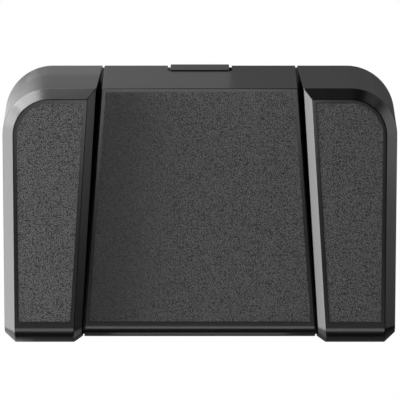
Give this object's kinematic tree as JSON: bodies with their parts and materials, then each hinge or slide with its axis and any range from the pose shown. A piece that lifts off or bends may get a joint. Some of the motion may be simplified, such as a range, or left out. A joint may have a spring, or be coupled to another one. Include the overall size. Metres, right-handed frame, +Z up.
{
  "type": "foot pedal switch",
  "caption": "Low wedge-shaped foot switch with side-by-side sprung pedals hinged along the front, bevelled raised outer pedals and a rear cable socket.",
  "frame": {"origin": "centre of the outline's bounding box, on the surface that the rubber feet stand on", "axes": "+X to the user's right, +Y to the rear, away from the user, +Z up"},
  "size_m": [0.24, 0.171, 0.056],
  "materials": {
    "pedal_plastic": "fine spark-eroded grain on the decks, smooth satin edges",
    "tray_plastic": "moulded, fine matte",
    "port_plastic": "moulded, smooth satin",
    "plate_steel": "black powder coat",
    "foot_rubber": "matte",
    "stop_rubber": "matte",
    "screw_steel": "black zinc",
    "pin_steel": "ground",
    "lever_steel": "rolled strip",
    "spring_steel": "drawn wire",
    "socket_steel": "nickel plated",
    "terminal_brass": "stamped",
    "bearing_acetal": "moulded acetal",
    "switch_plastic": "moulded",
    "button_plastic": "moulded",
    "board_laminate": "solder mask",
    "chip_resin": "moulded epoxy",
    "header_nylon": "moulded nylon",
    "lead_sheath": "PVC sheath"
  },
  "bodies": {
    "base": {"base_tray": "tray_plastic", "base_plate": "plate_steel", "rubber_feet": "foot_rubber", "base_screws": "screw_steel", "port_housing": "port_plastic", "port_screws": "screw_steel", "usb_socket": "socket_steel", "circuit_board": "board_laminate", "board_chips": "chip_resin", "board_screws": "screw_steel", "lead_headers": "header_nylon", "switch_leads": "lead_sheath", "left_switch_case": "switch_plastic", "centre_switch_case": "switch_plastic", "right_switch_case": "switch_plastic", "switch_terminals": "terminal_brass", "switch_screws": "screw_steel", "hinge_bearings": "bearing_acetal", "bump_stops": "stop_rubber", "left_spring": "spring_steel", "centre_springs": "spring_steel", "right_spring": "spring_steel"},
    "left_pedal": {"left_pedal": "pedal_plastic", "left_hinge_pin": "pin_steel"},
    "left_lever": {"left_switch_lever": "lever_steel"},
    "left_button": {"left_switch_button": "button_plastic"},
    "centre_pedal": {"centre_pedal": "pedal_plastic", "centre_hinge_pin": "pin_steel"},
    "centre_lever": {"centre_switch_lever": "lever_steel"},
    "centre_button": {"centre_switch_button": "button_plastic"},
    "right_pedal": {"right_pedal": "pedal_plastic", "right_hinge_pin": "pin_steel"},
    "right_lever": {"right_switch_lever": "lever_steel"},
    "right_button": {"right_switch_button": "button_plastic"}
  },
  "joints": [
    {"name": "left_pedal_hinge", "type": "hinge", "parent": "base", "child": "left_pedal", "pos_m": [-0.09261, -0.074, 0.012], "axis": [-1, 0, 0], "range_deg": [0, 2.1], "stiffness_Nm_per_rad": 24, "springref_deg": -3.44, "deforming": ["left_spring"]},
    {"name": "left_lever_hinge", "type": "hinge", "parent": "base", "child": "left_lever", "pos_m": [-0.09261, -0.02747, 0.02185], "axis": [-1, 0, 0], "range_deg": [0, 9.2]},
    {"name": "left_button_slide", "type": "slide", "parent": "base", "child": "left_button", "axis": [0, 0, -1], "range_m": [0, 0.00075]},
    {"name": "centre_pedal_hinge", "type": "hinge", "parent": "base", "child": "centre_pedal", "pos_m": [0, -0.074, 0.012], "axis": [-1, 0, 0], "range_deg": [0, 2.1], "stiffness_Nm_per_rad": 24, "springref_deg": -3.44, "deforming": ["centre_springs"]},
    {"name": "centre_lever_hinge", "type": "hinge", "parent": "base", "child": "centre_lever", "pos_m": [0, -0.02747, 0.02185], "axis": [-1, 0, 0], "range_deg": [0, 9.2]},
    {"name": "centre_button_slide", "type": "slide", "parent": "base", "child": "centre_button", "axis": [0, 0, -1], "range_m": [0, 0.00075]},
    {"name": "right_pedal_hinge", "type": "hinge", "parent": "base", "child": "right_pedal", "pos_m": [0.09261, -0.074, 0.012], "axis": [-1, 0, 0], "range_deg": [0, 2.1], "stiffness_Nm_per_rad": 24, "springref_deg": -3.44, "deforming": ["right_spring"]},
    {"name": "right_lever_hinge", "type": "hinge", "parent": "base", "child": "right_lever", "pos_m": [0.09261, -0.02747, 0.02185], "axis": [-1, 0, 0], "range_deg": [0, 9.2]},
    {"name": "right_button_slide", "type": "slide", "parent": "base", "child": "right_button", "axis": [0, 0, -1], "range_m": [0, 0.00075]}
  ],
  "couplings": [
    {"joint": "left_lever_hinge", "follows": "left_pedal_hinge", "ratio": 4.3744},
    {"joint": "left_button_slide", "follows": "left_pedal_hinge", "m_per_rad": 0.020315},
    {"joint": "centre_lever_hinge", "follows": "centre_pedal_hinge", "ratio": 4.3744},
    {"joint": "centre_button_slide", "follows": "centre_pedal_hinge", "m_per_rad": 0.020315},
    {"joint": "right_lever_hinge", "follows": "right_pedal_hinge", "ratio": 4.3744},
    {"joint": "right_button_slide", "follows": "right_pedal_hinge", "m_per_rad": 0.020315}
  ]
}
